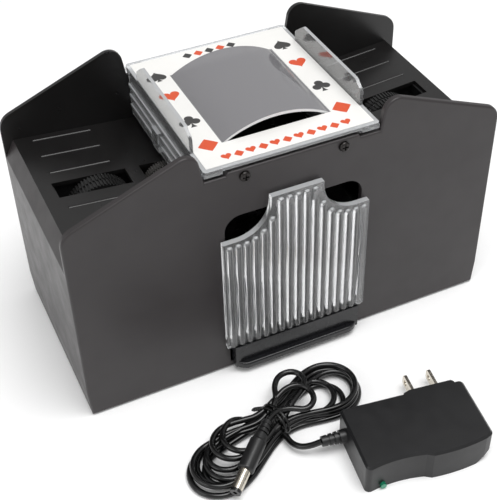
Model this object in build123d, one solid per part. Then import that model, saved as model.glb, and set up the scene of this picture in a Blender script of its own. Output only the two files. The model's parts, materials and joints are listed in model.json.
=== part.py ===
from build123d import *
from math import cos, sin, radians, degrees, pi, tan, atan2, hypot, sqrt
import os

# Automatic card shuffler with two card decks, a press-down clear cover, a pull-out
# card tray and a mains adapter on a hanked cord. Millimetres, +X right, +Y to the
# back, +Z up. The housing is drawn about its own centre line and every node is moved
# by FRAME_SHIFT at the end, so that the origin is the bottom centre of the shuffler.

# ---- Driving dimensions -------------------------------------------------------------
DEPTH = 104.0              # front panel face to back panel face
HALF_WIDTH = 113.0         # side wall face
FOOT_HALF_WIDTH = 112.0    # side wall face at the bottom edge
TAPER_TOP = 15.0           # the walls draw in below this height
PANEL = 3.0                # thickness of the front and back panels
WALL = 2.5                 # thickness of the other walls
BOTTOM = 0.8               # underside of the base plate and lower edge of the walls
BASE_TOP = 4.4

FIN_OUTER_Z = 116.0        # top of the guard fins at their outer corner
FIN_PEAK_X = 48.0
FIN_PEAK_Z = 142.0
NOTCH_X = 44.9             # half width of the notch that the cover sits in
NOTCH_Z = 125.2
LUG_X = 34.5               # inner edge of the deeper seats for the cover's lugs
LUG_Z = 123.4

DECK_EDGE_X = 107.8        # bevel meets deck
DECK_INNER_X = 39.0
DECK_Z_AT_40 = 97.2
DECK_SLOPE = 0.089
DECK_THICK = 2.2
WALL_TOP_Z = 94.0          # bevel meets side wall
SLOT_HALF = 6.15
OUTER_SLOT = (64.0, 101.0)
INNER_SLOT_END = 56.8

OUTER_X, OUTER_R = 80.0, 16.5    # feed wheel under the middle of each deck
INNER_X, INNER_R = 46.0, 10.0    # throw-in wheel at the mouth of the card bay
WHEEL_RISE = 1.2                 # how far a wheel stands above the deck
TYRE_WIDTH = 9.0
MODULE = 0.8
OUTER_TEETH, INNER_TEETH, IDLER_TEETH = 28, 14, 24
SMALL_TEETH, LARGE_TEETH, PINION_TEETH = 12, 34, 10
GEAR_PLANE = (12.0, 16.5)        # wheel gears, idler and the small reduction gear
MOTOR_PLANE = (19.0, 22.0)       # large reduction gear and motor pinion
FRAME_FRONT = (-10.0, -7.5)      # the two bearing plates under each deck
FRAME_BACK = (8.0, 10.5)

COVER_TOP = 128.3
COVER_THICK = 1.5
COVER_TRAVEL = 1.5
COVER_HALF_X = 44.6
COVER_HALF_Y = 51.5
COVER_WALL = 1.7
WINDOW_X = 27.9
WINDOW_Y = (-33.3, 30.8)
WINDOW_RISE = 8.0

MOUTH_X = 36.5             # tray opening in the front panel
MOUTH_TOP = 99.5
TRAY_X = 35.5
TRAY_FRONT_X = 39.0
TRAY_SIDE_Z = 87.0
TRAY_TAB_X = 13.7
TRAY_TAB_Z = 107.2
TRAY_WALL_Z = 18.0
LIP_Y = -60.0
RIBS = 17

SCREW_X, SCREW_Z = 25.4, 121.2
SCREW_HEAD = 1.7
CELL_BAY_X = (50.5, 106.2)       # battery opening in the base plate
CELL_BAY_Y = 27.0
CELL_BAY_TOP = 31.4
HINGE_X, HINGE_Z = 103.6, 2.9
JACK_X, JACK_Z = 75.0, 20.0

CORD = 3.0                 # diameter of the adapter's cord
ADAPTER_AT = (21.6, -138.3)
ADAPTER_TURN = -8.5
ADAPTER_SIZE = (64.0, 38.0, 17.5)
BLADE_PITCH = 12.7
BLADE_SEAT = 1.4           # raised face that the blades stand on
BLADE_Z = 6.2

FRONT = -DEPTH / 2
BACK = DEPTH / 2
IN_FRONT = FRONT + PANEL
IN_BACK = BACK - PANEL
FRAME_SHIFT = -(LIP_Y + BACK + SCREW_HEAD) / 2
COVER_UNDER = COVER_TOP - COVER_THICK

os.makedirs("parts", exist_ok=True)


# ---- Small helpers ------------------------------------------------------------------
def block(x, y, z):
    """A box from its low and high values along each axis."""
    size = (x[1] - x[0], y[1] - y[0], z[1] - z[0])
    return Pos((x[0] + x[1]) / 2, (y[0] + y[1]) / 2, (z[0] + z[1]) / 2) * Box(*size)


def rod_y(x, z, radius, y):
    """A round bar along Y from y[0] to y[1]."""
    place = Pos(x, (y[0] + y[1]) / 2, z) * Rot(X=90)
    return place * Cylinder(radius, y[1] - y[0])


def rod_z(x, y, radius, z):
    """An upright round bar from z[0] to z[1]."""
    return Pos(x, y, (z[0] + z[1]) / 2) * Cylinder(radius, z[1] - z[0])


def plate_y(outline, y):
    """A flat piece with an XZ outline (list of points or a face), from y[0] to y[1]."""
    flat = outline
    if isinstance(outline, list):
        flat = make_face(Polyline(*outline, close=True))
    upright = Rot(X=90) * flat
    return Pos(0, y[1], 0) * extrude(upright, y[1] - y[0], dir=(0, -1, 0))


def deck_z(x):
    """Height of a deck's top face at a distance x from the centre line."""
    return DECK_Z_AT_40 + DECK_SLOPE * (x - 40.0)


def save(name, *pieces):
    """Move the pieces to the part's frame and write them as one node."""
    moved = [Pos(0, FRAME_SHIFT, 0) * piece for piece in pieces]
    shape = moved[0] if len(moved) == 1 else Compound(children=moved)
    export_step(shape, f"parts/{name}.step")


def save_pair(name, *pieces):
    """Write pieces drawn at +X as the right node and their mirror image as the left."""
    save(f"{name}_right", *pieces)
    save(f"{name}_left", *[mirror(piece, Plane.YZ) for piece in pieces])


def both_sides(pieces):
    """Pieces drawn at +X together with their mirror images."""
    return [*pieces, *[mirror(piece, Plane.YZ) for piece in pieces]]


# ---- Housing panels -----------------------------------------------------------------
def panel_outline():
    """Front and back panels: tapered foot, guard fins, cover notch with lug seats."""
    half = [(FOOT_HALF_WIDTH, BOTTOM), (HALF_WIDTH, TAPER_TOP), (HALF_WIDTH, FIN_OUTER_Z),
            (FIN_PEAK_X, FIN_PEAK_Z), (NOTCH_X, LUG_Z), (LUG_X, LUG_Z),
            (LUG_X - 1.2, NOTCH_Z)]
    points = [*half, *[(-x, z) for x, z in reversed(half)]]
    face = make_face(Polyline(*points, close=True))
    corners = face.vertices()
    outer = [v for v in corners if abs(v.Y - FIN_OUTER_Z) < 0.1]
    peaks = [v for v in corners if abs(v.Y - FIN_PEAK_Z) < 0.1]
    face = fillet(outer, 9.0)
    peaks = [v for v in face.vertices() if abs(v.Y - FIN_PEAK_Z) < 0.1]
    return fillet(peaks, 7.0)


def panel(y, outer_face_y):
    """A panel with its outer rim rounded, and two screw bosses on its inner face."""
    plate = plate_y(panel_outline(), y)
    rim = plate.faces().filter_by(Plane.XZ).sort_by(Axis.Y)
    rim = rim[0] if outer_face_y < 0 else rim[-1]
    plate = fillet(rim.outer_wire().edges(), 1.2)
    inner = y[1] if outer_face_y < 0 else y[0]
    toward = 1 if outer_face_y < 0 else -1
    for x in (-62.0, 62.0):
        boss_y = sorted((inner - toward * 0.5, inner + toward * 8.0))
        boss = block((x - 4, x + 4), boss_y, (BASE_TOP, 18.0))
        hole = rod_z(x, inner + toward * 4.0, 1.25, (BASE_TOP - 1, 12.0))
        plate = plate + boss - hole
    for x in (-SCREW_X, SCREW_X):
        plate -= rod_y(x, SCREW_Z, 1.45, (y[0] - 1, y[1] + 1))
    return plate


def mouth():
    """The tray opening, rounded at its top corners."""
    opening = block((-MOUTH_X, MOUTH_X), (FRONT - 1, IN_FRONT + 1), (BASE_TOP + 0.1, MOUTH_TOP))
    return fillet(opening.edges().filter_by(Axis.Y).sort_by(Axis.Z)[-2:], 8.5)


front_panel = panel((FRONT, IN_FRONT), FRONT) - mouth()
save("front_panel", front_panel)

back_panel = panel((IN_BACK, BACK), BACK) - rod_y(JACK_X, JACK_Z, 4.1, (IN_BACK - 1, BACK + 1))
save("back_panel", back_panel)

side_outline = [(FOOT_HALF_WIDTH, BOTTOM), (HALF_WIDTH, TAPER_TOP), (HALF_WIDTH, WALL_TOP_Z),
                (DECK_EDGE_X, deck_z(DECK_EDGE_X)), (DECK_EDGE_X, deck_z(DECK_EDGE_X) - 3.2),
                (HALF_WIDTH - WALL, WALL_TOP_Z - 1.4), (HALF_WIDTH - WALL, TAPER_TOP),
                (FOOT_HALF_WIDTH - WALL, BOTTOM)]
side_wall = plate_y(side_outline, (IN_FRONT, IN_BACK))
bevel_edges = [e for e in side_wall.edges().filter_by(Axis.Y)
               if abs(e.center().X - HALF_WIDTH) < 0.1 and e.center().Z > 90]
side_wall = fillet(bevel_edges, 1.5)
save_pair("side_wall", side_wall)


# ---- Card decks ---------------------------------------------------------------------
def deck():
    """Sloping card platform with two wheel slots and low ribs for the cards to run on."""
    outline = [(DECK_INNER_X, deck_z(DECK_INNER_X)), (DECK_EDGE_X, deck_z(DECK_EDGE_X)),
               (DECK_EDGE_X, deck_z(DECK_EDGE_X) - DECK_THICK),
               (DECK_INNER_X, deck_z(DECK_INNER_X) - DECK_THICK)]
    plate = plate_y(outline, (IN_FRONT, IN_BACK))
    for start, end in (OUTER_SLOT, (DECK_INNER_X - 1, INNER_SLOT_END)):
        plate -= block((start, end), (-SLOT_HALF, SLOT_HALF), (80, 110))
    rib_from, rib_to, rib_r = 69.0, 99.0, 1.0
    for y in (-45.0, -30.0, -15.0, 15.0, 30.0, 45.0):
        sunk = rib_r - 0.45
        ends = [Vector(x, y, deck_z(x) - sunk) for x in (rib_from, rib_to)]
        axis = Plane(origin=ends[0], z_dir=ends[1] - ends[0])
        length = (ends[1] - ends[0]).length
        plate += axis * (Pos(0, 0, length / 2) * Cylinder(rib_r, length))
    return plate


save_pair("deck", deck())


# ---- Base plate, battery bays and doors ---------------------------------------------
def base_plate():
    """Floor of the housing, with a framed opening under each battery bay."""
    plate = block((-108.2, 108.2), (IN_FRONT, IN_BACK), (BOTTOM, BASE_TOP))
    for sign in (-1, 1):
        bay = sorted((sign * CELL_BAY_X[0], sign * CELL_BAY_X[1]))
        plate -= block(bay, (-CELL_BAY_Y, CELL_BAY_Y), (BOTTOM - 1, BASE_TOP + 1))
        plate -= rod_y(sign * HINGE_X, HINGE_Z, 1.06, (-CELL_BAY_Y - 2.0, CELL_BAY_Y + 2.0))
        for y in (IN_FRONT + 4.0, IN_BACK - 4.0):
            plate -= rod_z(sign * 62.0, y, 1.45, (0, 6))
            plate -= rod_z(sign * 62.0, y, 3.2, (0, BOTTOM + 1.8))
    return plate


def battery_box():
    """Open-bottomed box for two C cells lying side by side."""
    low, high = CELL_BAY_X[0] - 2.0, CELL_BAY_X[1] + 1.2
    shell = block((low, high), (-CELL_BAY_Y - 2, CELL_BAY_Y + 2), (BASE_TOP, CELL_BAY_TOP + 2))
    shell -= block((low + 2, high - 2), (-CELL_BAY_Y, CELL_BAY_Y), (BASE_TOP - 1, CELL_BAY_TOP))
    return shell


def battery_door():
    """Flat door with a rounded hinge edge, two hinge pins and a finger groove."""
    gap = 0.35
    x0 = CELL_BAY_X[0] + gap
    half = CELL_BAY_Y - gap
    slab = block((x0, HINGE_X), (-half, half), (BOTTOM + 0.1, BASE_TOP - 0.6))
    knuckle = rod_y(HINGE_X, HINGE_Z, 1.35, (-half, half))
    pin = rod_y(HINGE_X, HINGE_Z, 1.0, (-CELL_BAY_Y - 1.5, CELL_BAY_Y + 1.5))
    door = slab + knuckle + pin
    for y in range(-6, 7, 3):
        door -= block((x0 + 5, x0 + 11), (y - 0.5, y + 0.5), (BOTTOM, BOTTOM + 0.7))
    return door


save("base_plate", base_plate())
save_pair("battery_box", battery_box())
save_pair("battery_door", battery_door())

contacts = []
cell_pitch = 26.9
for column in (-0.5, 0.5):
    cell_x = (CELL_BAY_X[0] + CELL_BAY_X[1] - 0.8) / 2 + column * cell_pitch
    cell_z = 17.8
    spring_path = Helix(pitch=1.8, height=3.6, radius=4.5)
    wire = Plane(origin=spring_path @ 0, z_dir=spring_path % 0) * Circle(0.4)
    spring = Pos(cell_x, -CELL_BAY_Y + 0.9, cell_z) * Rot(X=-90) * sweep(wire, spring_path)
    plate_back = block((cell_x - 8, cell_x + 8), (-CELL_BAY_Y, -CELL_BAY_Y + 0.5), (10, 26))
    plate_front = block((cell_x - 8, cell_x + 8), (CELL_BAY_Y - 0.5, CELL_BAY_Y), (10, 26))
    button = rod_y(cell_x, cell_z, 3.5, (CELL_BAY_Y - 1.1, CELL_BAY_Y - 0.5))
    contacts += [spring, plate_back, plate_front + button]
save("battery_contacts", *both_sides(contacts))

feet = [rod_z(x, y, 5.0, (0, BOTTOM)) for x in (-98.0, 98.0) for y in (-41.0, 41.0)]
save("rubber_feet", *feet)


# ---- Card bay -----------------------------------------------------------------------
bay_wall = block((38.5, 40.5), (IN_FRONT, IN_BACK), (BASE_TOP, 76.0))
save("bay_walls", *both_sides([bay_wall]))


# ---- Drive: bearing frames, axles, tyres --------------------------------------------
def wheel_z(x, radius):
    """Height of a wheel's axle."""
    return deck_z(x) + WHEEL_RISE - radius


def polar(centre, distance, angle):
    """A point at a distance and an angle in degrees in the XZ plane."""
    return (centre[0] + distance * cos(radians(angle)),
            centre[1] + distance * sin(radians(angle)))


def mesh_distance(teeth_a, teeth_b):
    """Centre distance of two meshed gears."""
    return MODULE * (teeth_a + teeth_b) / 2


def direction(a, b):
    """Angle in degrees from point a to point b."""
    return degrees(atan2(b[1] - a[1], b[0] - a[0]))


outer_axis = (OUTER_X, wheel_z(OUTER_X, OUTER_R))
inner_axis = (INNER_X, wheel_z(INNER_X, INNER_R))
to_idler = mesh_distance(OUTER_TEETH, IDLER_TEETH)
from_idler = mesh_distance(IDLER_TEETH, INNER_TEETH)
span = hypot(inner_axis[0] - outer_axis[0], inner_axis[1] - outer_axis[1])
corner = (to_idler**2 + span**2 - from_idler**2) / (2 * to_idler * span)
idler_axis = polar(outer_axis, to_idler,
                   direction(outer_axis, inner_axis) + degrees(atan2(sqrt(1 - corner**2), corner)))
reduction_axis = polar(outer_axis, mesh_distance(OUTER_TEETH, SMALL_TEETH), -60)
motor_axis = polar(reduction_axis, mesh_distance(LARGE_TEETH, PINION_TEETH), -105)


def drive_frame():
    """Two bearing plates under the deck, joined by a web at their outer end."""
    def plate(y, low):
        under = [(x, deck_z(x) - DECK_THICK) for x in (102.5, 41.2)]
        return plate_y([(41.2, low), (102.5, low), *under], y)

    web = [(100.0, 74.0), (102.5, 74.0), (102.5, deck_z(102.5) - DECK_THICK),
           (100.0, deck_z(100.0) - DECK_THICK)]
    frame = plate(FRAME_FRONT, 74.0) + plate(FRAME_BACK, 41.0)
    frame += plate_y(web, (FRAME_FRONT[0], FRAME_BACK[1]))
    both = (FRAME_FRONT[0] - 1, FRAME_BACK[1] + 1)
    back_only = (FRAME_BACK[0] - 1, FRAME_BACK[1] + 1)
    for axis in (outer_axis, inner_axis):
        frame -= rod_y(*axis, 3.5, both)
    frame -= rod_y(*motor_axis, 3.1, back_only)
    for axis in (idler_axis, reduction_axis):
        frame -= rod_y(*axis, 1.5, back_only)
    for offset in (-8.0, 8.0):
        frame -= rod_y(motor_axis[0] + offset, motor_axis[1], 1.3, back_only)
    return frame


def axle(axis, hub_radius):
    """Moulded axle: a stepped bar with the wheel's webbed hub on it."""
    bar = rod_y(*axis, 2.0, (FRAME_FRONT[0] - 0.8, GEAR_PLANE[1] + 0.8))
    hub = rod_y(*axis, hub_radius, (-TYRE_WIDTH / 2, TYRE_WIDTH / 2))
    recess = hub_radius - 1.6
    for y in ((-TYRE_WIDTH / 2 - 1, -1.0), (1.0, TYRE_WIDTH / 2 + 1)):
        hub -= rod_y(*axis, recess, y) - rod_y(*axis, 3.4, y)
    return hub + bar


def tyre(axis, radius, hub_radius, lugs):
    """Soft tyre with two staggered rows of tread lugs."""
    root = radius - 0.8

    def row(phase, y):
        points = []
        for lug in range(lugs):
            for place, r in ((-0.30, root), (-0.20, radius), (0.20, radius), (0.30, root)):
                points.append(polar(axis, r, 360 / lugs * (lug + phase + place)))
        return plate_y(points, y)

    half = TYRE_WIDTH / 2
    tread = row(0.0, (-half, -0.4)) + row(0.5, (0.4, half))
    band = rod_y(*axis, root - 0.3, (-half, half))
    return tread + band - rod_y(*axis, hub_radius, (-half - 1, half + 1))


def flank(teeth):
    """Half of a tooth outline, root to tip, as radius and angle from the tooth centre.

    Involute of a 20 degree pressure angle, thinned by the running backlash, with a
    stub tip so that small gears clear each other's roots."""
    pitch = MODULE * teeth / 2
    base = pitch * cos(radians(20))
    inv_pitch = tan(radians(20)) - radians(20)
    half_tooth = pi / (2 * teeth) - 0.13 / pitch
    rows = [(pitch - 1.2 * MODULE, half_tooth + inv_pitch)]
    for step in range(5):
        radius = base + (pitch + 0.8 * MODULE - base) * step / 4
        roll = sqrt(max((radius / base) ** 2 - 1, 0))
        rows.append((radius, half_tooth + inv_pitch - (roll - atan2(roll, 1))))
    return rows


def gear(axis, teeth, start, y, bore):
    """Spur gear with a tooth centred on the angle start."""
    points = []
    for tooth in range(teeth):
        centre = start + 360 * tooth / teeth
        rows = flank(teeth)
        points += [polar(axis, r, centre - degrees(a)) for r, a in rows]
        points += [polar(axis, r, centre + degrees(a)) for r, a in reversed(rows)]
    return plate_y(points, y) - rod_y(*axis, bore, (y[0] - 1, y[1] + 1))


def meshed(start, teeth, axis, next_axis, next_teeth):
    """Start angle of a gear whose gap faces the tooth of the gear it meshes with."""
    facing = direction(axis, next_axis)
    lead = (start - facing) / (360 / teeth)
    return facing + 180 + (0.5 - lead) * 360 / next_teeth


outer_start = 0.0
idler_start = meshed(outer_start, OUTER_TEETH, outer_axis, idler_axis, IDLER_TEETH)
inner_start = meshed(idler_start, IDLER_TEETH, idler_axis, inner_axis, INNER_TEETH)
small_start = meshed(outer_start, OUTER_TEETH, outer_axis, reduction_axis, SMALL_TEETH)
large_start = 0.0
pinion_start = meshed(large_start, LARGE_TEETH, reduction_axis, motor_axis, PINION_TEETH)

save_pair("drive_frame", drive_frame())
OUTER_HUB, INNER_HUB = OUTER_R - 3.6, INNER_R - 3.0
save_pair("feed_axle", axle(outer_axis, OUTER_HUB))
save_pair("feed_tyre", tyre(outer_axis, OUTER_R, OUTER_HUB, 58))
save_pair("feed_gear", gear(outer_axis, OUTER_TEETH, outer_start, GEAR_PLANE, 2.0))
save_pair("throw_axle", axle(inner_axis, INNER_HUB))
save_pair("throw_tyre", tyre(inner_axis, INNER_R, INNER_HUB, 46))
save_pair("throw_gear", gear(inner_axis, INNER_TEETH, inner_start, GEAR_PLANE, 2.0))
save_pair("idler_gear", gear(idler_axis, IDLER_TEETH, idler_start, GEAR_PLANE, 1.55))

large = gear(reduction_axis, LARGE_TEETH, large_start, MOTOR_PLANE, 1.55)
small = gear(reduction_axis, SMALL_TEETH, small_start, (GEAR_PLANE[0], MOTOR_PLANE[0]), 1.55)
save_pair("reduction_gear", large + small)

pinion = gear(motor_axis, PINION_TEETH, pinion_start, MOTOR_PLANE, 0.5)
motor_shaft = rod_y(*motor_axis, 1.0, (-20.0, MOTOR_PLANE[1] + 0.5))
save_pair("motor_pinion", pinion + motor_shaft)

bushes = []
for axis in (outer_axis, inner_axis):
    for y in (FRAME_FRONT, FRAME_BACK):
        bushes.append(rod_y(*axis, 3.5, y) - rod_y(*axis, 2.06, (y[0] - 1, y[1] + 1)))
save("bearing_bushes", *both_sides(bushes))

pins = [rod_y(*idler_axis, 1.5, (FRAME_BACK[0], GEAR_PLANE[1] + 1.0)),
        rod_y(*reduction_axis, 1.5, (FRAME_BACK[0], MOTOR_PLANE[1] + 1.0))]
save("gear_pins", *both_sides(pins))


# ---- Motors -------------------------------------------------------------------------
def motor():
    """Small permanent magnet motor: can with two flats, front boss, rear cap, tags."""
    x, z = motor_axis
    can = rod_y(x, z, 12.2, (-21.0, FRAME_BACK[0]))
    can = can & block((x - 12.2, x + 12.2), (-30, 20), (z - 10.0, z + 10.0))
    boss = rod_y(x, z, 3.0, (FRAME_BACK[0] - 0.5, FRAME_BACK[1] - 0.6))
    cap = rod_y(x, z, 8.5, (-23.5, -20.5))
    tags = [block((x + s - 0.3, x + s + 0.3), (-28.0, -23.0), (z - 1.4, z + 1.4))
            for s in (-5.5, 5.5)]
    body = can + boss + cap + tags[0] + tags[1]
    body -= rod_y(x, z, 1.05, (-22.0, 20.0))
    for offset in (-8.0, 8.0):
        body -= rod_y(x + offset, z, 1.0, (FRAME_BACK[0] - 3.5, FRAME_BACK[0] + 1))
    return body


save_pair("motor", motor())

motor_screws = []
for offset in (-8.0, 8.0):
    x, z = motor_axis[0] + offset, motor_axis[1]
    shank = rod_y(x, z, 1.0, (FRAME_BACK[0] - 3.0, FRAME_BACK[1]))
    head = rod_y(x, z, 2.2, (FRAME_BACK[1], FRAME_BACK[1] + 1.3))
    motor_screws.append(shank + head)
save("motor_screws", *both_sides(motor_screws))


# ---- Cover, its rails, springs and switch -------------------------------------------
def cover():
    """Clear press cover: plate with a window, side walls, finger fins and corner lugs."""
    plate = block((-COVER_HALF_X, COVER_HALF_X), (-COVER_HALF_Y, COVER_HALF_Y),
                  (COVER_UNDER, COVER_TOP))
    plate = fillet(plate.edges().filter_by(Axis.Z), 1.5)
    plate -= block((-WINDOW_X, WINDOW_X), WINDOW_Y, (COVER_UNDER - 1, COVER_TOP + 1))
    inner = COVER_HALF_X - COVER_WALL
    body = plate
    for sign in (-1, 1):
        wall_x = sorted((sign * inner, sign * COVER_HALF_X))
        body += block(wall_x, (-47.0, 47.0), (101.3, COVER_UNDER + 0.2))
        for z in (107.0, 113.0, 119.0):
            edge = sorted((sign * COVER_HALF_X - sign * 0.3, sign * (COVER_HALF_X + 0.9)))
            body += block(edge, (-46.0, 46.0), (z, z + 1.2))
        latch = sorted((sign * COVER_HALF_X - sign * 0.3, sign * (COVER_HALF_X + 2.2)))
        body += block(latch, (3.0, 11.0), (105.0, 116.0))
        fin = [(-35.0, COVER_TOP - 0.5), (-35.0, COVER_TOP + 8.0), (-29.5, COVER_TOP + 12.0),
               (25.0, COVER_TOP + 12.0), (33.5, COVER_TOP + 5.5), (33.5, COVER_TOP - 0.5)]
        fin_face = make_face(Polyline(*fin, close=True))
        tops = [v for v in fin_face.vertices() if v.Y > COVER_TOP + 4]
        fin_face = fillet(tops, 3.0)
        upright = Plane(origin=(wall_x[0], 0, 0), x_dir=(0, 1, 0), z_dir=(1, 0, 0))
        body += extrude(upright * fin_face, wall_x[1] - wall_x[0], dir=(1, 0, 0))
        for end in (-1, 1):
            lug_x = sorted((sign * (LUG_X + 1.0), sign * COVER_HALF_X))
            lug_y = sorted((end * 47.0, end * (COVER_HALF_Y - 0.3)))
            body += block(lug_x, lug_y, (LUG_Z + COVER_TRAVEL + 0.1, COVER_UNDER + 0.2))
            body += rod_z(sign * 15.0, end * 45.0, 1.8, (119.5, COVER_UNDER + 0.2))
    body += rod_z(0, 37.7, 2.4, (121.5, COVER_UNDER + 0.2))
    return body


def arch(half_width, rise, low):
    """Face under an arc of the given half width and rise that stands on z = low."""
    bow = ThreePointArc((-half_width, low), (0, low + rise), (half_width, low))
    chord = Line((half_width, low), (-half_width, low))
    return make_face([bow, chord])


def window_lens():
    """Smoke-tinted barrel vault, open at its two ends, on a flange under the plate."""
    vault = plate_y(arch(WINDOW_X - 0.05, WINDOW_RISE, COVER_TOP - 0.3), WINDOW_Y)
    inside = plate_y(arch(WINDOW_X - 1.75, WINDOW_RISE - 1.4, COVER_TOP - 0.4),
                     (WINDOW_Y[0] - 1, WINDOW_Y[1] + 1))
    vault -= inside
    flange_y = (WINDOW_Y[0] - 2.5, WINDOW_Y[1] + 2.5)
    flange = block((-WINDOW_X - 2.5, WINDOW_X + 2.5), flange_y, (COVER_UNDER - 1.2, COVER_UNDER))
    flange -= block((-WINDOW_X + 1.7, WINDOW_X - 1.7), (WINDOW_Y[0] + 1.7, WINDOW_Y[1] - 1.7),
                    (COVER_UNDER - 3, COVER_UNDER + 3))
    sides = []
    for sign in (-1, 1):
        x = sorted((sign * (WINDOW_X - 1.7), sign * (WINDOW_X - 0.05)))
        sides.append(block(x, (WINDOW_Y[0] + 0.05, WINDOW_Y[1] - 0.05), (COVER_UNDER - 0.4, COVER_TOP)))
    return vault + flange + sides[0] + sides[1]


save("press_cover", cover())
save("window_lens", window_lens())
card_insert = block((-42.7, 42.7), (-49.2, 49.2), (COVER_TOP, COVER_TOP + 0.2))
card_insert -= block((-WINDOW_X - 0.3, WINDOW_X + 0.3), (WINDOW_Y[0] - 0.3, WINDOW_Y[1] + 0.3),
                     (COVER_TOP - 1, COVER_TOP + 1))
save("card_insert", card_insert)

SPRING_FLOOR = 116.0
rails = []
springs = []
for end in (-1, 1):
    rail = block((-34.0, 34.0), sorted((end * 41.0, end * 49.0)), (112.0, 124.6))
    for x in (-15.0, 15.0):
        rail -= rod_z(x, end * 45.0, 3.6, (SPRING_FLOOR, 126.0))
        coil = Helix(pitch=1.9, height=COVER_UNDER - SPRING_FLOOR - 0.6, radius=2.8)
        wire = Plane(origin=coil @ 0, z_dir=coil % 0) * Circle(0.25)
        springs.append(Pos(x, end * 45.0, SPRING_FLOOR + 0.3) * sweep(wire, coil))
    for x in (-SCREW_X, SCREW_X):
        rail -= rod_y(x, SCREW_Z, 1.25, sorted((end * 42.5, end * 50.0)))
    rails.append(rail)
save("cover_rails", *rails)
save("return_springs", *springs)

switch = block((-6.4, 6.4), (34.8, 41.0), (112.5, 119.4))
switch -= rod_z(0, 37.7, 1.3, (114.0, 121.0))
for x in (-4.5, 0.0, 4.5):
    switch += block((x - 0.8, x + 0.8), (37.4, 37.9), (109.5, 112.6))
save("cover_switch", switch)
save("switch_plunger", rod_z(0, 37.7, 1.2, (115.8, 121.5)))


# ---- Card tray ----------------------------------------------------------------------
def card_tray():
    """Black tray: floor, low walls, front wall and a finger lip with round corners."""
    back = IN_BACK - 2.0
    floor = block((-TRAY_X, TRAY_X), (FRONT - 0.3, back), (BASE_TOP + 0.3, BASE_TOP + 2.1))
    walls = block((-TRAY_X, TRAY_X), (FRONT - 0.3, back), (BASE_TOP + 0.3, 26.0))
    walls -= block((-TRAY_X + 1.5, TRAY_X - 1.5), (FRONT - 2, back - 1.5), (BASE_TOP, 30.0))
    front_wall = block((-TRAY_X, TRAY_X), (FRONT - 5.0, FRONT - 0.3), (4.0, TRAY_WALL_Z))
    lip = block((-TRAY_X, TRAY_X), (LIP_Y, FRONT - 0.3), (4.0, 7.2))
    lip = fillet(lip.edges().filter_by(Axis.Z).sort_by(Axis.Y)[:2], 7.0)
    lip = fillet(lip.faces().sort_by(Axis.Z)[-1].edges().sort_by(Axis.Y)[:3], 0.9)
    return floor + walls + front_wall + lip


def tray_front_outline(inset):
    """Tray front: straight sides, hollow quarter-round shoulders, square tab on top."""
    x, low = TRAY_FRONT_X - inset, TRAY_WALL_Z + inset
    side, tab_x, top = TRAY_SIDE_Z - inset, TRAY_TAB_X - inset, TRAY_TAB_Z - inset
    hollow = top - side - 2.0
    ends = [(tab_x, side + hollow), (tab_x + hollow, side)]
    turn = hollow * cos(radians(45))
    centre = (tab_x + hollow, side + hollow)
    middle = (centre[0] - turn, centre[1] - turn)
    right = [Line((x, low), (x, side)), Line((x, side), ends[1]),
             ThreePointArc(ends[1], middle, ends[0]), Line(ends[0], (tab_x, top))]
    left = [mirror(edge, Plane.YZ) for edge in right]
    closing = [Line((tab_x, top), (-tab_x, top)), Line((-x, low), (x, low))]
    return make_face([*right, *left, *closing])


def tray_front():
    """Clear tray front: a flat plate with a row of upright half-round ribs."""
    plate = plate_y(tray_front_outline(0.0), (FRONT - 3.6, FRONT - 0.6))
    pitch = 2 * (TRAY_FRONT_X - 0.8) / RIBS
    radius = pitch / 2 - 0.25
    face = FRONT - 3.6
    ribs = []
    for index in range(RIBS):
        x = (index - (RIBS - 1) / 2) * pitch
        top = TRAY_SIDE_Z
        hollow = TRAY_TAB_Z - TRAY_SIDE_Z - 2.0
        reach = abs(x) + radius - TRAY_TAB_X
        if reach <= 0:
            top = TRAY_TAB_Z
        elif reach < hollow:
            top = TRAY_SIDE_Z + hollow - sqrt(hollow**2 - (hollow - reach) ** 2)
        top -= radius + 1.6
        low = TRAY_WALL_Z + radius + 0.3
        ribs.append(rod_z(x, face, radius, (low, top)))
        ribs.append(Pos(x, face, top) * Sphere(radius))
        ribs.append(Pos(x, face, low) * Sphere(radius))
    keep = block((-50, 50), (FRONT - 8, FRONT - 2), (10, 120))
    body = plate
    for rib in ribs:
        body += rib & keep
    return body


save("card_tray", card_tray())
save("tray_front", tray_front())


# ---- Electrics and fasteners --------------------------------------------------------
jack = block((JACK_X - 4.5, JACK_X + 4.5), (IN_BACK - 13.0, IN_BACK), (JACK_Z - 5, JACK_Z + 5.5))
jack += rod_y(JACK_X, JACK_Z, 4.0, (IN_BACK - 0.5, BACK - 0.3))
jack -= rod_y(JACK_X, JACK_Z, 2.8, (BACK - 9.5, BACK + 1))
jack += rod_y(JACK_X, JACK_Z, 1.0, (BACK - 10.0, BACK - 1.2))
save("dc_jack", jack)

board = block((52.0, 100.0), (IN_BACK - 14.8, IN_BACK - 13.2), (8.0, 40.0))
for x, z, size in ((60.0, 30.0, 5.0), (90.0, 17.0, 3.5), (90.0, 33.0, 4.0)):
    board += rod_y(x, z, size / 2, (IN_BACK - 13.5, IN_BACK - 4.0))
save("circuit_board", board)


def pan_screw():
    """Pan-head cross-recess screw, head up, seat at the origin."""
    head = Pos(0, 0, SCREW_HEAD / 2) * Cylinder(2.65, SCREW_HEAD)
    head = fillet(head.edges().sort_by(Axis.Z)[-1], 1.1)
    shank = Pos(0, 0, -4.0) * Cylinder(1.2, 8.2)
    cross = Pos(0, 0, SCREW_HEAD) * (Box(3.2, 0.8, 1.6) + Box(0.8, 3.2, 1.6))
    return head + shank - cross


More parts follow.
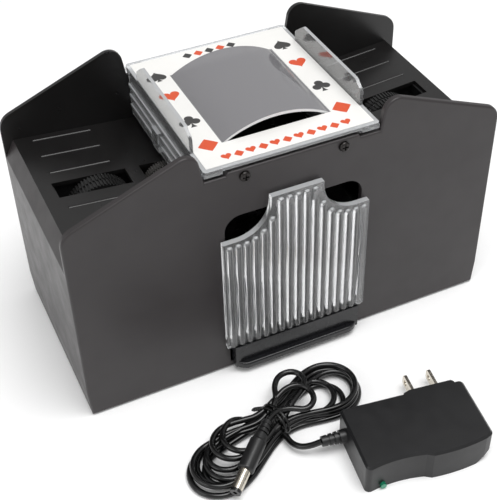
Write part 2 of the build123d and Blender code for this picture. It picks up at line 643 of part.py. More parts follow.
screws = []
for x in (-SCREW_X, SCREW_X):
    screws.append(Pos(x, FRONT, SCREW_Z) * Rot(X=90) * pan_screw())
    screws.append(Pos(x, BACK, SCREW_Z) * Rot(X=-90) * pan_screw())
for x in (-62.0, 62.0):
    for y in (IN_FRONT + 4.0, IN_BACK - 4.0):
        screws.append(Pos(x, y, BOTTOM + 1.8) * Rot(X=180) * pan_screw())
save("case_screws", *screws)


# ---- Mains adapter, cord and plug ---------------------------------------------------
def at_adapter(shape):
    """Turn and move a shape drawn about the adapter's centre to where it lies."""
    return Pos(*ADAPTER_AT, 0) * Rot(Z=ADAPTER_TURN) * shape


def adapter_point(x, y):
    """The XY place of a point given in the adapter's own axes."""
    turn = radians(ADAPTER_TURN)
    return (ADAPTER_AT[0] + x * cos(turn) - y * sin(turn),
            ADAPTER_AT[1] + x * sin(turn) + y * cos(turn))


def adapter_case():
    """Case with a waved front, an underside that lifts at one end, and a blade seat."""
    end, side, height = ADAPTER_SIZE[0] / 2, ADAPTER_SIZE[1] / 2, ADAPTER_SIZE[2]
    hollow = ThreePointArc((-end, -side), (-14.0, -side + 2.5), (-2.4, -side + 1.4))
    step = Line((-2.4, -side + 1.4), (0.8, -side - 0.3))
    belly = ThreePointArc((0.8, -side - 0.3), (14.0, -side - 0.3), (28.0, -side + 1.9))
    rest = Polyline((28.0, -side + 1.9), (end, -side + 3.6), (end, side + 0.4),
                    (-end, side + 0.4), (-end, -side))
    case = extrude(make_face(Wire([hollow, step, belly, *rest.edges()])), height)
    lifted = [(end - 8.0, -1.0), (end + 1.0, -1.0), (end + 1.0, 6.5), (end, 6.0),
              (end - 8.0, 0.0)]
    case -= plate_y(lifted, (-side - 3, side + 3))
    uprights = [e for e in case.edges().filter_by(Axis.Z) if abs(e.center().X) > end - 1]
    case = fillet(uprights, 2.4)
    rim = case.faces().sort_by(Axis.Z)[-1].outer_wire().edges()
    case = chamfer(rim, 1.1)
    seat = [(1.2, side - 2.0), (1.2, side + 0.2), (4.6, side + BLADE_SEAT),
            (26.4, side + BLADE_SEAT), (27.6, side + 0.2), (27.6, side - 2.0)]
    return case + Pos(0, 0, 1.5) * extrude(make_face(Polyline(*seat, close=True)), height - 1.5)


save("adapter_case", at_adapter(adapter_case()))

length, width, height = ADAPTER_SIZE
blades = []
for x in (9.8, 9.8 + BLADE_PITCH):
    seat, tip = width / 2 + BLADE_SEAT, width / 2 + BLADE_SEAT + 17.0
    blade = block((x - 0.75, x + 0.75), (seat, tip), (BLADE_Z - 3.15, BLADE_Z + 3.15))
    blade = fillet(blade.edges().filter_by(Axis.X).sort_by(Axis.Y)[-2:], 1.8)
    blade -= Pos(x, tip - 3.4, BLADE_Z) * Rot(Y=90) * Cylinder(1.5, 4)
    blades.append(at_adapter(blade))
save("adapter_blades", *blades)

lamp = Pos(-23.3, -width / 2 + 1.4, 2.4) * Rot(X=90) * Cylinder(1.5, 2.4)
save("adapter_lamp", at_adapter(lamp))

GLAND_Y, GLAND_Z, GLAND_LENGTH = 10.0, 8.5, 12.0
gland = Rot(Y=-90) * Pos(0, 0, GLAND_LENGTH / 2) * Cone(3.6, 2.5, GLAND_LENGTH)
for step in range(3):
    ring = Pos(-3.6 - 2.6 * step, 0, 0) * Rot(Y=90) * (Cylinder(5, 1.1) - Cylinder(2.3, 1.1))
    gland -= ring
gland = Pos(-length / 2, GLAND_Y, GLAND_Z) * gland
save("cord_gland", at_adapter(gland))

cord_exit = adapter_point(-length / 2 - GLAND_LENGTH, GLAND_Y)
LEAD_ROUTE = [(*cord_exit, GLAND_Z), (-27.0, -120.4, 5.8), (-32.0, -114.6, 4.0),
              (-32.6, -107.0, 4.0)]


def corner_radii(route):
    """Each corner's arc: 0.45 of its shorter run over the tangent of half its turn."""
    radii = []
    for a, b, c in zip(route, route[1:], route[2:]):
        first, second = Vector(b) - Vector(a), Vector(c) - Vector(b)
        half_turn = radians(first.get_angle(second)) / 2
        radii.append(0.45 * min(first.length, second.length) / tan(half_turn))
    return radii


radii = corner_radii(LEAD_ROUTE)
lead_path = FilletPolyline(*LEAD_ROUTE, radius=radii)
lead_section = Plane(origin=lead_path @ 0, z_dir=lead_path % 0) * Circle(CORD / 2)
lead = sweep(lead_section, lead_path)
save("cord_lead", lead)
print("cord radii", [round(r, 1) for r in radii], "length", round(lead_path.length, 1),
      "volume", round(lead.volume, 1), "section times length",
      round(pi * CORD**2 / 4 * lead_path.length, 1))

HANK_AT, HANK_TURN, HANK_HEIGHT = (-32.0, -98.0), 18.4, 8.0
PLUG_FROM, PLUG_TO = Vector(-40.0, -103.3, 13.5), Vector(-69.5, -130.2, 7.0)
along = Plane(origin=PLUG_FROM, z_dir=PLUG_TO - PLUG_FROM)
PLUG_R = 4.1
lobes = [Pos(-24.0, 0.5) * Ellipse(29.0, 15.5), Pos(23.0, -3.5) * Ellipse(26.5, 15.0)]
waist = Pos(0, -0.5) * Rectangle(26.0, 17.0)
hank = extrude(lobes[0] + lobes[1] + waist, HANK_HEIGHT)
hank = Pos(*HANK_AT, 0) * Rot(Z=HANK_TURN) * hank
hank -= along * Pos(0, 0, 19.0) * Cylinder(PLUG_R - 0.02, 46.0)
save("cord_hank", hank)

relief = Pos(0, 0, 5.5) * Cone(2.3, 3.5, 11.0)
for step in range(3):
    relief -= Pos(0, 0, 2.4 + 2.4 * step) * (Cylinder(6, 1.0) - Cylinder(2.1, 1.0))
grip = Pos(0, 0, 19.5) * Cylinder(PLUG_R, 17.0)
grip = fillet(grip.edges().filter_by(GeomType.CIRCLE), 1.0)
save("dc_plug", along * (relief + grip))
barrel = Pos(0, 0, 34.0) * Cylinder(2.75, 12.0)
barrel -= Pos(0, 0, 36.0) * Cylinder(1.05, 10.0)
save("plug_barrel", along * barrel)
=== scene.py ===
"""Automatic card shuffler: finishes, printed card and hanked adapter cord round its frame.

Metres, +X right, +Y to the back, +Z up, origin under the middle of the shuffler.
"""
import json
import math

import bpy
import numpy as np
from mathutils import Matrix, Vector


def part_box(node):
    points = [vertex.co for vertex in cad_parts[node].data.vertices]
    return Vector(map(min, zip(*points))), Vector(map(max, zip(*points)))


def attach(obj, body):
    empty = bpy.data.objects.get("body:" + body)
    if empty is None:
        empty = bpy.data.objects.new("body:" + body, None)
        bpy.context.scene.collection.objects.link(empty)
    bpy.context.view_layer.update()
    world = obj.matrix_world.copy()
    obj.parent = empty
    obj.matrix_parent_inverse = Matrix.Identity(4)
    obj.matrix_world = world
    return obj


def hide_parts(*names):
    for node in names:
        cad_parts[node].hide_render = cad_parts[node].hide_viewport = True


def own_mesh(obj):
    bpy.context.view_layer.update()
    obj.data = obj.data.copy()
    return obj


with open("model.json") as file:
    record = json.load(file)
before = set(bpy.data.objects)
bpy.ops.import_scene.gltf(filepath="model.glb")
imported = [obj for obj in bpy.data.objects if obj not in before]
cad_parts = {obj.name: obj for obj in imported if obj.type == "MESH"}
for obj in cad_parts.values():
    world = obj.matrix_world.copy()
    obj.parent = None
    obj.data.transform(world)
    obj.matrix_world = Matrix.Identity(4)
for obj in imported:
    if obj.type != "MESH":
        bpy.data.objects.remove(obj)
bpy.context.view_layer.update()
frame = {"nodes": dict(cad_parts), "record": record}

MM = 0.001
nodes = frame["nodes"]


# ---- Colours and nodes --------------------------------------------------------------
def linear(code):
    """Scene-linear RGBA of an sRGB hex colour."""
    parts = [int(code[i:i + 2], 16) / 255 for i in (1, 3, 5)]
    return [*[c / 12.92 if c <= 0.04045 else ((c + 0.055) / 1.055) ** 2.4 for c in parts], 1.0]


def add(tree, kind, values=None, **links):
    """Add a node, set its inputs and properties from values, and link its named inputs."""
    node = tree.nodes.new(kind)
    for key, value in (values or {}).items():
        if key in node.inputs:
            node.inputs[key].default_value = value
        else:
            setattr(node, key, value)
    for key, source in links.items():
        tree.links.new(source, node.inputs[key])
    return node


def ramp(tree, source, low, high, start=0.3, stop=0.7):
    """Two colours, or two greys, mixed by a value that runs from start to stop."""
    node = add(tree, "ShaderNodeValToRGB", Fac=source)
    node.color_ramp.elements[0].position = start
    node.color_ramp.elements[1].position = stop
    for element, colour in zip(node.color_ramp.elements, (low, high)):
        element.color = colour if len(colour) == 4 else [*colour * 3, 1.0]
    return node.outputs["Color"]


def surface(name):
    """A new material: its tree, its Principled shader and the piece's own coordinates."""
    material = bpy.data.materials.new(name)
    material.use_nodes = True
    tree = material.node_tree
    shader = tree.nodes["Principled BSDF"]
    place = add(tree, "ShaderNodeTexCoord").outputs["Object"]
    return material, tree, shader, place


def noise(tree, place, size_mm, detail=2.0, roughness=0.5):
    """Noise whose features are about size_mm across."""
    settings = {"Scale": 1.0 / (size_mm * MM), "Detail": detail, "Roughness": roughness}
    return add(tree, "ShaderNodeTexNoise", settings, Vector=place).outputs["Fac"]


def bump(tree, shader, height, depth_mm, strength=1.0):
    """Drive the shader's normal with a height of the given depth."""
    settings = {"Strength": strength, "Distance": depth_mm * MM}
    node = add(tree, "ShaderNodeBump", settings, Height=height)
    tree.links.new(node.outputs["Normal"], shader.inputs["Normal"])


def moulded(name, dark, light, rough, grain_mm, depth_mm):
    """An opaque moulded polymer: a spark or etched grain, with slow tone and gloss drift.

    dark and light are the two ends of its tone, rough the two ends of its roughness.
    1.5 is the usual refractive index of such polymers."""
    material, tree, shader, place = surface(name)
    drift = noise(tree, place, 38.0, 3.0)
    tree.links.new(ramp(tree, drift, linear(dark), linear(light)), shader.inputs["Base Color"])
    worn = noise(tree, place, 9.0, 4.0)
    tree.links.new(ramp(tree, worn, (rough[0],), (rough[1],)), shader.inputs["Roughness"])
    shader.inputs["IOR"].default_value = 1.5
    bump(tree, shader, noise(tree, place, grain_mm, 3.0, 0.6), depth_mm)
    return material


def metal(name, colour, rough, grain_mm=2.0, stretch=(1, 1, 1), depth_mm=0.01):
    """A bare or plated metal, with a grain drawn out along one axis where it was worked."""
    material, tree, shader, place = surface(name)
    shader.inputs["Base Color"].default_value = linear(colour)
    shader.inputs["Metallic"].default_value = 1.0
    drawn = add(tree, "ShaderNodeMapping", {"Scale": stretch}, Vector=place).outputs["Vector"]
    grain = noise(tree, drawn, grain_mm, 4.0)
    tree.links.new(ramp(tree, grain, (rough[0],), (rough[1],)), shader.inputs["Roughness"])
    bump(tree, shader, grain, depth_mm, 0.6)
    return material


# Painted highlight on clear faces: where it starts and where it is complete, as a cosine.
HIGHLIGHT_RAMP = (0.6, 0.9)


def clear(name, tint, rough, haze, highlight_axis, highlight_tint, highlight_haze):
    """A clear polymer: light goes through it, and haze is the share that it scatters.

    Faces turned towards the given axis, either way, are painted paler and scatter
    more: a painted highlight. The ramp constant above is how far a face is turned towards
    the axis, as a cosine, where that starts and where it is complete."""
    material, tree, shader, place = surface(name)
    facing = add(tree, "ShaderNodeVectorMath", {"operation": "DOT_PRODUCT"})
    tree.links.new(add(tree, "ShaderNodeNewGeometry").outputs["Normal"], facing.inputs[0])
    facing.inputs[1].default_value = highlight_axis
    square = add(tree, "ShaderNodeMath", {"operation": "ABSOLUTE"})
    tree.links.new(facing.outputs["Value"], square.inputs[0])
    highlight_share = square.outputs["Value"]
    # Painted highlight: faces turned towards the axis get the paler tint and more haze.
    colour = ramp(tree, highlight_share, linear(tint), linear(highlight_tint), *HIGHLIGHT_RAMP)
    tree.links.new(colour, shader.inputs["Base Color"])
    through = ramp(tree, highlight_share, (1.0 - haze,), (1.0 - highlight_haze,), *HIGHLIGHT_RAMP)
    tree.links.new(through, shader.inputs["Transmission Weight"])
    shader.inputs["IOR"].default_value = 1.55
    smear = noise(tree, place, 14.0, 3.0)
    tree.links.new(ramp(tree, smear, (rough[0],), (rough[1],)), shader.inputs["Roughness"])
    return material


# ---- Materials ----------------------------------------------------------------------
# Black ABS, injection moulded in a spark-eroded tool: semi-gloss under a fine grain, so
# that it greys where it faces something bright.
shell_abs = moulded("black_abs_spark_grain", "#272324", "#2b2728", (0.36, 0.46), 0.5, 0.02)
# The same ABS from a plainer tool: the decks and the back, glossier and deeper.
deck_abs = moulded("black_abs_plain_tool", "#131212", "#171616", (0.27, 0.36), 0.7, 0.008)
frame_abs = moulded("black_abs_inner", "#121212", "#181819", (0.35, 0.5), 1.4, 0.012)
tray_abs = moulded("black_abs_satin", "#0f0f12", "#151518", (0.22, 0.32), 0.8, 0.008)
adapter_abs = moulded("black_abs_fine_etch", "#0b0b0d", "#0f0f11", (0.34, 0.44), 0.4, 0.016)
switch_body = moulded("black_nylon_moulded", "#131313", "#191919", (0.45, 0.6), 0.8, 0.01)
# Natural nylon: milky ivory, slightly waxy, with faint flow clouds.
gear_nylon = moulded("natural_nylon", "#d8d4c6", "#e4e1d6", (0.35, 0.5), 2.5, 0.008)
# Moulded rubbers: soft, matt, a little dusty.
foot_rubber = moulded("black_rubber_moulded", "#1a1a1a", "#222222", (0.7, 0.85), 0.9, 0.02)
tread_rubber = moulded("dark_rubber_tread", "#131313", "#1b1b1b", (0.4, 0.55), 0.7, 0.02)
roller_rubber = moulded("grey_silicone_rubber", "#3a3937", "#454341", (0.5, 0.65), 0.7, 0.02)
# Extruded PVC cord: wet-looking gloss; overmoulded PVC plug: satin.
cord_pvc = moulded("black_pvc_extruded", "#080808", "#0c0c0d", (0.12, 0.2), 3.0, 0.006)
plug_pvc = moulded("black_pvc_overmoulded", "#141415", "#1a1a1b", (0.32, 0.44), 0.8, 0.012)
board = moulded("fr4_solder_resist", "#0d3b1e", "#134a27", (0.25, 0.4), 1.2, 0.01)
# Coated paperboard: bright white, barely fibrous.
printed_card = moulded("coated_paperboard", "#e3e2df", "#e8e7e4", (0.4, 0.52), 0.9, 0.004)
ink_red = moulded("offset_ink_vermilion", "#cc4a26", "#d2522e", (0.38, 0.48), 0.9, 0.003)
ink_grey = moulded("offset_ink_charcoal", "#343333", "#3a3938", (0.38, 0.48), 0.9, 0.003)

# Metals. Nickel plate is warm and bright; zinc-plated steel cans are duller.
nickel = metal("nickel_plate", "#cfc8bb", (0.16, 0.3))
screw_steel = metal("black_nickel_screw", "#3a3837", (0.24, 0.36))
shaft_steel = metal("ground_steel", "#b8b8b8", (0.22, 0.36), 0.5, (1, 6, 1))
spring_steel = metal("drawn_spring_wire", "#a8a8a6", (0.25, 0.38))
motor_can = metal("zinc_plated_steel", "#b3b4b4", (0.3, 0.46), 1.2)
bush_bronze = metal("sintered_bronze", "#a37b46", (0.42, 0.6), 0.3, depth_mm=0.02)
contact_plate = metal("plated_contact_strip", "#c4c0b8", (0.2, 0.34))

UPRIGHT, FRONT_TO_BACK = (0, 0, 1), (0, 1, 0)
# Polystyrene, crystal clear from a polished tool; its faces turned up or down are painted paler
# and hazier, a painted highlight.
clear_styrene = clear("clear_polystyrene", "#fafbfc", (0.01, 0.04), 0.08,
                      UPRIGHT, "#f4f6f8", 0.4)
# The same with a grey, faintly milky tint; its faces turned to the front and back, the two arched
# rims, are painted pale and hazier, a painted highlight.
smoked_styrene = clear("smoked_polystyrene", "#8f8e91", (0.05, 0.14), 0.66,
                       FRONT_TO_BACK, "#f2f3f4", 0.8)
# Tinted acrylic lamp lens, small and slightly diffusing; its faces turned to the front and back
# are painted paler and hazier, a painted highlight.
lamp_lens = clear("green_lamp_lens", "#1f8f6a", (0.1, 0.2), 0.55,
                  FRONT_TO_BACK, "#4fb491", 0.6)

FINISH = {
    "shell_abs": shell_abs, "deck_abs": deck_abs, "tray_abs": tray_abs, "frame_abs": frame_abs,
    "clear_styrene": clear_styrene, "smoked_styrene": smoked_styrene,
    "printed_card": printed_card, "foot_rubber": foot_rubber, "tread_rubber": tread_rubber,
    "roller_rubber": roller_rubber, "gear_nylon": gear_nylon, "motor_can": motor_can,
    "shaft_steel": shaft_steel, "screw_steel": screw_steel, "spring_steel": spring_steel,
    "bush_bronze": bush_bronze, "contact_plate": contact_plate, "board": board,
    "switch_body": switch_body, "adapter_abs": adapter_abs, "cord_pvc": cord_pvc,
    "plug_pvc": plug_pvc, "nickel": nickel, "lamp_lens": lamp_lens,
}
for row in frame["record"]["subparts"]:
    node = nodes[row["node"]]
    node.data.materials.clear()
    node.data.materials.append(FINISH[row["material_slot"]])


# ---- Small mesh helpers -------------------------------------------------------------
def grid_mesh(name, points, material, body, wrap_rows=False):
    """A piece from an array of points (rows, columns, 3), joined into quads.

    Each row is a closed ring; wrap_rows joins the last ring to the first."""
    rows, columns = points.shape[:2]
    index = np.arange(rows * columns).reshape(rows, columns)
    if wrap_rows:
        index = np.vstack([index, index[:1]])
    index = np.hstack([index, index[:, :1]])
    quads = np.stack([index[:-1, :-1], index[:-1, 1:], index[1:, 1:], index[1:, :-1]], axis=-1)
    mesh = bpy.data.meshes.new(name)
    mesh.from_pydata(points.reshape(-1, 3).tolist(), [], quads.reshape(-1, 4).tolist())
    mesh.materials.append(material)
    piece = bpy.data.objects.new(name, mesh)
    bpy.context.scene.collection.objects.link(piece)
    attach(piece, body)
    return piece


# ---- Printed card -------------------------------------------------------------------
card_low, card_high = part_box("card_insert")
INK = 0.03 * MM            # thickness that the ink is drawn with
INK_LIFT = 0.2             # height of its underside over the card, in ink thicknesses
INK_STEP = 0.02            # shapes that overlap differ in height by this share of it
MIDDLE_SHARE = 0.002       # size of the outline's innermost ring
angles = np.linspace(0, 2 * np.pi, 96, endpoint=False)


def heart():
    """x = 16 sin^3 t, y = 13 cos t - 5 cos 2t - 2 cos 3t - cos 4t, scaled to 1 wide."""
    t = angles[::-1]
    x = 16 * np.sin(t) ** 3
    y = 13 * np.cos(t) - 5 * np.cos(2 * t) - 2 * np.cos(3 * t) - np.cos(4 * t)
    return np.stack([x, y + 2.5], axis=1) / 32


def spade():
    """The heart upside down."""
    return heart() * (-1, -1)


def stem(top):
    """A flared foot under top: half width grows with the cube of the distance down."""
    down = np.linspace(0, 1, 12)
    half = 0.03 + 0.14 * down ** 3
    side = np.stack([half, top - down * 0.5], axis=1)
    return np.vstack([side * (-1, 1), side[::-1]])


def disc(x, y, radius):
    """A round of the given radius."""
    return np.stack([x + radius * np.cos(angles), y + radius * np.sin(angles)], axis=1)


def diamond():
    """x = cos t |cos t|^0.9, y likewise of sin: a lozenge with nearly straight sides."""
    bowed = [f(angles) * np.abs(f(angles)) ** 0.9 for f in (np.cos, np.sin)]
    return np.stack(bowed, axis=1) * 0.5


def printed(name, shapes, ink):
    """Inked shapes on the card as one piece. Each outline is carried from the middle of
    its underside out to its rim, up by the ink's thickness and back to the middle."""
    points, faces = [], []
    for number, (outline, at, size) in enumerate(shapes):
        middle = outline.mean(axis=0)
        count = len(outline)
        for share, height in ((MIDDLE_SHARE, INK_LIFT), (1.0, INK_LIFT), (1.0, 1.0),
                              (MIDDLE_SHARE, 1.0)):
            flat = (middle + (outline - middle) * share) * size + at
            level = np.full(count, card_high.z + INK * (height + INK_STEP * (number % 8)))
            points.append(np.column_stack([flat, level]))
        index = np.arange(4 * count).reshape(4, count) + sum(map(len, points[:-4]))
        turned = np.roll(index, -1, axis=1)
        quads = np.stack([index[:-1], turned[:-1], turned[1:], index[1:]], axis=-1)
        faces += quads.reshape(-1, 4).tolist() + [index[0][::-1].tolist(), index[3].tolist()]
    mesh = bpy.data.meshes.new(name)
    mesh.from_pydata(np.vstack(points).tolist(), [], faces)
    mesh.materials.append(ink)
    piece = bpy.data.objects.new(name, mesh)
    bpy.context.scene.collection.objects.link(piece)
    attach(piece, "cover")


centre_y = (card_low.y + card_high.y) / 2
# A club's three lobes and the heart of them: centre and radius, for a club 1 wide.
CLUB = ((0.0, 0.22, 0.23), (-0.25, -0.1, 0.23), (0.25, -0.1, 0.23), (0.0, 0.02, 0.16))
SUIT_X, SUIT_Y = 34.5 * MM, (32.9, 12.4, -11.0, -32.5)
SPADE, HEART, CLUBS, DIAMOND = 9.0 * MM, 9.0 * MM, 9.6 * MM, 10.0 * MM
BORDER_Y, BORDER_PITCH = 44.4 * MM, 6.1 * MM
FRONT_PIPS, FRONT_PIP = 11, 5.0 * MM
BACK_PIPS, BACK_PIP, BACK_PIP_X = 5, 5.2 * MM, -1.0 * MM
red, grey = [], []
for x in (-SUIT_X, SUIT_X):
    spade_at, heart_at, club_at, diamond_at = [
        np.array([x, centre_y + y * MM]) for y in SUIT_Y]
    grey += [(spade(), spade_at, SPADE), (stem(-0.08), spade_at, SPADE)]
    red += [(heart(), heart_at, HEART), (diamond(), diamond_at, DIAMOND)]
    grey += [(disc(*lobe), club_at, CLUBS) for lobe in CLUB]
    grey += [(stem(-0.05), club_at, CLUBS)]
for number in range(FRONT_PIPS):
    at = ((number - (FRONT_PIPS - 1) / 2) * BORDER_PITCH, centre_y - BORDER_Y)
    red.append((diamond() if number % 2 else heart(), at, FRONT_PIP))
for number in range(BACK_PIPS):
    at = ((number - (BACK_PIPS - 1) / 2) * BORDER_PITCH + BACK_PIP_X, centre_y + BORDER_Y)
    (red if number % 2 else grey).append((diamond(), at, BACK_PIP))
printed("ink_vermilion", red, ink_red)
printed("ink_charcoal", grey, ink_grey)


# ---- Adapter cord -------------------------------------------------------------------
CORD = 3.0 * MM
FRAME_SHIFT = 3.15         # the CAD's move from the housing's centre line, along Y
HANK_AT, HANK_TURN = Vector((-32.0, -98.0 + FRAME_SHIFT, 0.0)), math.radians(18.4)
LEAD = [(-20.42, -118.76, 8.5), (-27.0, -117.25, 5.8), (-32.0, -111.45, 4.0),
        (-32.6, -103.85, 4.0)]
PLUG_FROM = Vector((-40.0, -103.3 + FRAME_SHIFT, 13.5))
PLUG_TO = Vector((-69.5, -130.2 + FRAME_SHIFT, 7.0))
TURNS = 7                  # full turns in the hank


def from_hank(u, v, height):
    """The place of a point given along, across and above the middle of the hank, in mm."""
    c, s = math.cos(HANK_TURN), math.sin(HANK_TURN)
    return (HANK_AT.x + u * c - v * s, HANK_AT.y + u * s + v * c, height)


def half_turn(end, waist, reach, across, ring, height, back_at=None):
    """From the waist out along one side of the hank, round its end and back to the waist,
    where it arrives at another height if back_at gives one.

    The way out and back eases from one offset to the other as (1 - cos) / 2; the end
    is half an oval whose two radii are ring and 1.08 ring."""
    points = []
    for share in (0.0, 0.25, 0.5, 0.75):
        ease = (1 - math.cos(math.pi * share)) / 2
        v = waist[0] * (1 - ease) + (across + ring) * ease
        points.append((share * reach, v, waist[1] * (1 - ease) + height * ease))
    for angle in range(90, -91, -30):
        turn = math.radians(angle)
        u = reach + 1.08 * ring * math.cos(turn)
        points.append((u, across + ring * math.sin(turn), height))
    for share in (0.75, 0.5, 0.25):
        ease = (1 - math.cos(math.pi * share)) / 2
        v = -waist[0] * (1 - ease) + (across - ring) * ease
        inner = waist[1] if back_at is None else back_at
        points.append((share * reach, v, inner * (1 - ease) + height * ease))
    return [from_hank(end * u - 1.0, end * v - 0.5, h) for u, v, h in points]


def hank_turns():
    """A loop round the left end and seven full turns, pinched at the tie; offsets, radii
    and heights differ so that the strands lie beside and on each other."""
    layer = (1.6, 1.6, 1.6, 4.5, 4.5, 4.5, 7.2)
    right = ((33.0, -3.4, 15.2), (34.0, -2.4, 12.4), (27.0, -4.6, 10.6), (32.4, -3.8, 14.0),
             (35.5, -4.4, 11.2), (24.0, -1.4, 10.4), (32.0, -2.8, 14.4))
    left = ((38.0, 0.8, 14.6), (34.5, -1.4, 12.2), (35.5, 2.0, 10.0), (36.5, -0.5, 13.2),
            (32.0, 1.0, 11.4), (30.0, -2.5, 10.0), (24.5, -4.2, 10.4))
    waist = ((6.2, 1.6), (3.2, 1.6), (4.8, 3.9), (2.2, 4.2), (6.0, 6.3), (3.2, 6.7),
             (5.2, 8.6))
    points = half_turn(-1, (4.0, 9.0), 18.0, -3.6, 10.6, 8.0, back_at=1.4)
    for turn in range(TURNS):
        sway = math.sin(turn * 2.4)
        points += half_turn(1, waist[turn], *right[turn], layer[turn] + 0.2 * (1 + sway))
        points += half_turn(-1, waist[turn], *left[turn], layer[turn] + 0.2 * (1 - sway))
    return points


# Control points in the hank's own directions: the loop that stands out at the back, where
# the lead comes in, and the loop in front that ends in the plug.
first_loop = [(-4.0, -4.0, 5.6), (-3.4, 0.2, 8.4), (0.4, 3.6, 10.8), (6.0, 7.0, 11.4),
              (9.6, 12.4, 11.4), (16.2, 16.2, 11.4), (23.4, 14.0, 11.4), (25.4, 7.2, 11.4),
              (21.0, 1.6, 11.4), (13.4, 0.2, 11.4), (6.0, -2.0, 10.8)]
last_loop = [(5.6, 6.4, 11.2), (11.4, 7.0, 12.6), (17.2, 4.8, 13.4), (20.4, -1.6, 13.4),
             (17.6, -8.6, 12.8), (10.4, -10.2, 12.2), (5.4, -4.0, 12.6), (-2.2, -0.4, 13.8)]
along_plug = (PLUG_TO - PLUG_FROM).normalized()
route = [*LEAD, *[from_hank(*p) for p in first_loop], *hank_turns(),
         *[from_hank(*p) for p in last_loop], tuple(PLUG_FROM)]


def cord_curve(name, points, diameter, material):
    """A round cord on one NURBS spline through the control points, which are in mm."""
    curve = bpy.data.curves.new(name, "CURVE")
    curve.dimensions = "3D"
    curve.bevel_depth = diameter / 2
    curve.bevel_resolution = 4
    curve.use_fill_caps = True
    spline = curve.splines.new("NURBS")
    spline.points.add(len(points) - 1)
    for point, (x, y, z) in zip(spline.points, points):
        point.co = (x * MM, y * MM, z * MM, 1.0)
    spline.order_u = 3
    spline.use_endpoint_u = True
    spline.resolution_u = 6
    curve.materials.append(material)
    piece = bpy.data.objects.new(name, curve)
    bpy.context.scene.collection.objects.link(piece)
    return piece


cord = cord_curve("adapter_cord", route, CORD, cord_pvc)
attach(cord, "supply")
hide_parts("cord_lead", "cord_hank")


SLEEVE_END = 38.4 * MM       # from PLUG_FROM, along the plug


def sleeve():
    """Plated sleeve of the plug: the metal stops at SLEEVE_END, past which is the black
    insulating ring of its tip."""
    material = nickel.copy()
    material.name = "nickel_sleeve_black_tip"
    tree = material.node_tree
    shader = tree.nodes["Principled BSDF"]
    place = add(tree, "ShaderNodeTexCoord").outputs["Object"]
    far = add(tree, "ShaderNodeVectorMath", {"operation": "SUBTRACT"})
    tree.links.new(place, far.inputs[0])
    far.inputs[1].default_value = PLUG_FROM * MM
    along = add(tree, "ShaderNodeVectorMath", {"operation": "DOT_PRODUCT"})
    tree.links.new(far.outputs["Vector"], along.inputs[0])
    along.inputs[1].default_value = along_plug
    ring = add(tree, "ShaderNodeMath", {"operation": "LESS_THAN"})
    tree.links.new(along.outputs["Value"], ring.inputs[0])
    ring.inputs[1].default_value = SLEEVE_END
    colour = ramp(tree, ring.outputs["Value"], linear("#0d0d0d"), linear("#cfc8bb"))
    tree.links.new(colour, shader.inputs["Base Color"])
    tree.links.new(ring.outputs["Value"], shader.inputs["Metallic"])
    return material


nodes["plug_barrel"].data.materials[0] = sleeve()


RING_POINTS = 12
RING_GUIDE = (0.31, 0.17, 0.94)


def tube(name, centres, radius, body, material, closed=False):
    """Round wire along the centres in mm, as rings square to the line.

    The rings are turned by a fixed direction that the line never follows; the ends of an
    open wire close to a point."""
    centres = np.array(centres, float) * MM
    ahead = np.gradient(centres, axis=0)
    if closed:
        ahead = np.roll(centres, -1, axis=0) - np.roll(centres, 1, axis=0)
    ahead /= np.linalg.norm(ahead, axis=1)[:, None]
    aside = np.cross(ahead, RING_GUIDE)
    aside /= np.linalg.norm(aside, axis=1)[:, None]
    above = np.cross(aside, ahead)
    turn = np.linspace(0, 2 * np.pi, RING_POINTS, endpoint=False)[None, :, None]
    ring = aside[:, None] * np.cos(turn) + above[:, None] * np.sin(turn)
    points = centres[:, None] + ring * radius * MM
    if not closed:
        first, last = [end[None, None].repeat(RING_POINTS, 1) for end in centres[[0, -1]]]
        points = np.concatenate([first, points, last])
    return grid_mesh(name, points, material, body, wrap_rows=closed)


def tie_loop(u, reach, top):
    """One wrap of the tie: an oval round the waist of the hank, square to its length."""
    wrap = np.linspace(0, 2 * np.pi, 48, endpoint=False)
    across, height = reach * np.cos(wrap), top / 2 + 0.9 + (top / 2) * np.sin(wrap)
    return [from_hank(u + 0.5 * math.sin(w), v - 0.6, h) for w, v, h in zip(wrap, across, height)]


# Two wraps of the tie, side by side, and its two twisted ends.
for number, (u, reach, top) in enumerate(((-3.4, 8.6, 12.6), (-1.2, 8.8, 12.9))):
    tube(f"hank_tie_{number}", tie_loop(u, reach, top), 0.75, "supply", cord_pvc,
         closed=True)
TWIST = 0.7                # radius of the twist
for number in range(2):
    twist = np.linspace(0, 1, 40)
    phase = twist * 5 * np.pi + number * np.pi
    tail = [from_hank(-3.0 - 1.5 * t + TWIST * math.cos(p), 7.2 + 5.2 * t,
                      9.6 - 4.0 * t + TWIST * math.sin(p)) for t, p in zip(twist, phase)]
    tube(f"hank_tie_tail_{number}", tail, 0.6, "supply", cord_pvc)


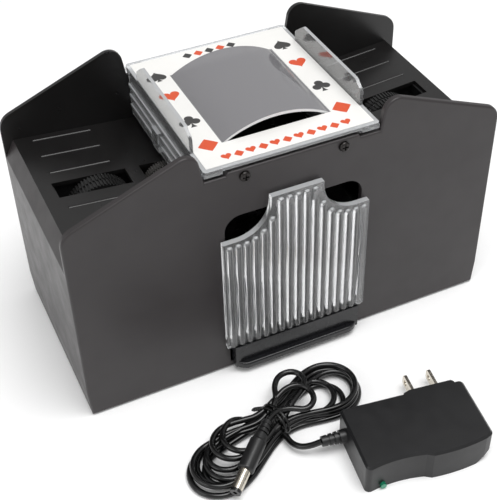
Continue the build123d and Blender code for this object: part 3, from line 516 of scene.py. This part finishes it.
# ---- Return springs under the cover -------------------------------------------------
spring_low, spring_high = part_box("return_springs")
COIL_RADIUS, COIL_PITCH, WIRE_RADIUS = 2.8, 1.9, 0.25
SPRING_X, SPRING_Y = 15.0, 45.0
spring_height = (spring_high.z - spring_low.z) / MM
coil_length = spring_height - 2 * WIRE_RADIUS
coil_turn = np.linspace(0, 2 * np.pi * coil_length / COIL_PITCH, 140)
for number, (side, end) in enumerate(((-1, -1), (1, -1), (-1, 1), (1, 1))):
    x = side * SPRING_X
    middle = (spring_low.y + spring_high.y) / 2 / MM + end * SPRING_Y
    foot = spring_low.z / MM + WIRE_RADIUS
    coil = [(x + COIL_RADIUS * math.cos(t), middle + COIL_RADIUS * math.sin(t),
             foot + COIL_PITCH * t / (2 * np.pi)) for t in coil_turn]
    spring = tube(f"return_spring_{number}", coil, WIRE_RADIUS, "housing", spring_steel)
    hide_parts("return_springs")
    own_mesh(spring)


# ---- Floor, light and camera --------------------------------------------------------
def pale_floor():
    """A wide plain sheet of matt white paper, 6 m square."""
    corners = np.array([[(-3, -3, 0), (3, -3, 0)], [(-3, 3, 0), (3, 3, 0)]], float)
    mesh = bpy.data.meshes.new("floor")
    mesh.from_pydata(corners.reshape(-1, 3).tolist(), [], [(0, 1, 3, 2)])
    material, _, shader, _ = surface("white_paper_sweep")
    shader.inputs["Base Color"].default_value = linear("#ffffff")
    shader.inputs["Roughness"].default_value = 0.9
    mesh.materials.append(material)
    floor = bpy.data.objects.new("floor", mesh)
    bpy.context.scene.collection.objects.link(floor)


def softbox(name, at, aim, size, watts):
    """A rectangular white light at a place, facing a point."""
    light = bpy.data.lights.new(name, "AREA")
    light.shape = "RECTANGLE"
    light.size, light.size_y = size
    light.energy = watts
    lamp = bpy.data.objects.new(name, light)
    lamp.location = at
    lamp.rotation_euler = (Vector(aim) - Vector(at)).to_track_quat("-Z", "Y").to_euler()
    bpy.context.scene.collection.objects.link(lamp)


pale_floor()
softbox("top_box", (0.1, -0.35, 1.3), (0, -0.1, 0), (1.0, 0.7), 12.5)
softbox("left_box", (-1.2, -0.3, 0.7), (0, 0, 0.06), (0.7, 0.7), 2.5)
world = bpy.data.worlds.new("studio")
bpy.context.scene.world = world
world.use_nodes = True
world.node_tree.nodes["Background"].inputs["Color"].default_value = linear("#ffffff")
world.node_tree.nodes["Background"].inputs["Strength"].default_value = 0.58

# The eye stands in front, to the left and above; these are its own three directions.
CAMERA_AT = Vector((-177.52, -397.41, 409.18)) * MM
RIGHT = (0.90721, -0.42005, -0.02308)
UP = (0.29236, 0.59009, 0.75254)
BACK = (-0.30249, -0.68946, 0.65814)
camera = bpy.data.cameras.new("camera")
camera.sensor_width = 36.0
camera.lens = 76.15
eye = bpy.data.objects.new("camera", camera)
turn = Matrix((RIGHT, UP, BACK)).transposed()
eye.matrix_world = Matrix.Translation(CAMERA_AT) @ turn.to_4x4()
bpy.context.scene.collection.objects.link(eye)
bpy.context.scene.camera = eye
bpy.context.scene.view_settings.view_transform = "Standard"
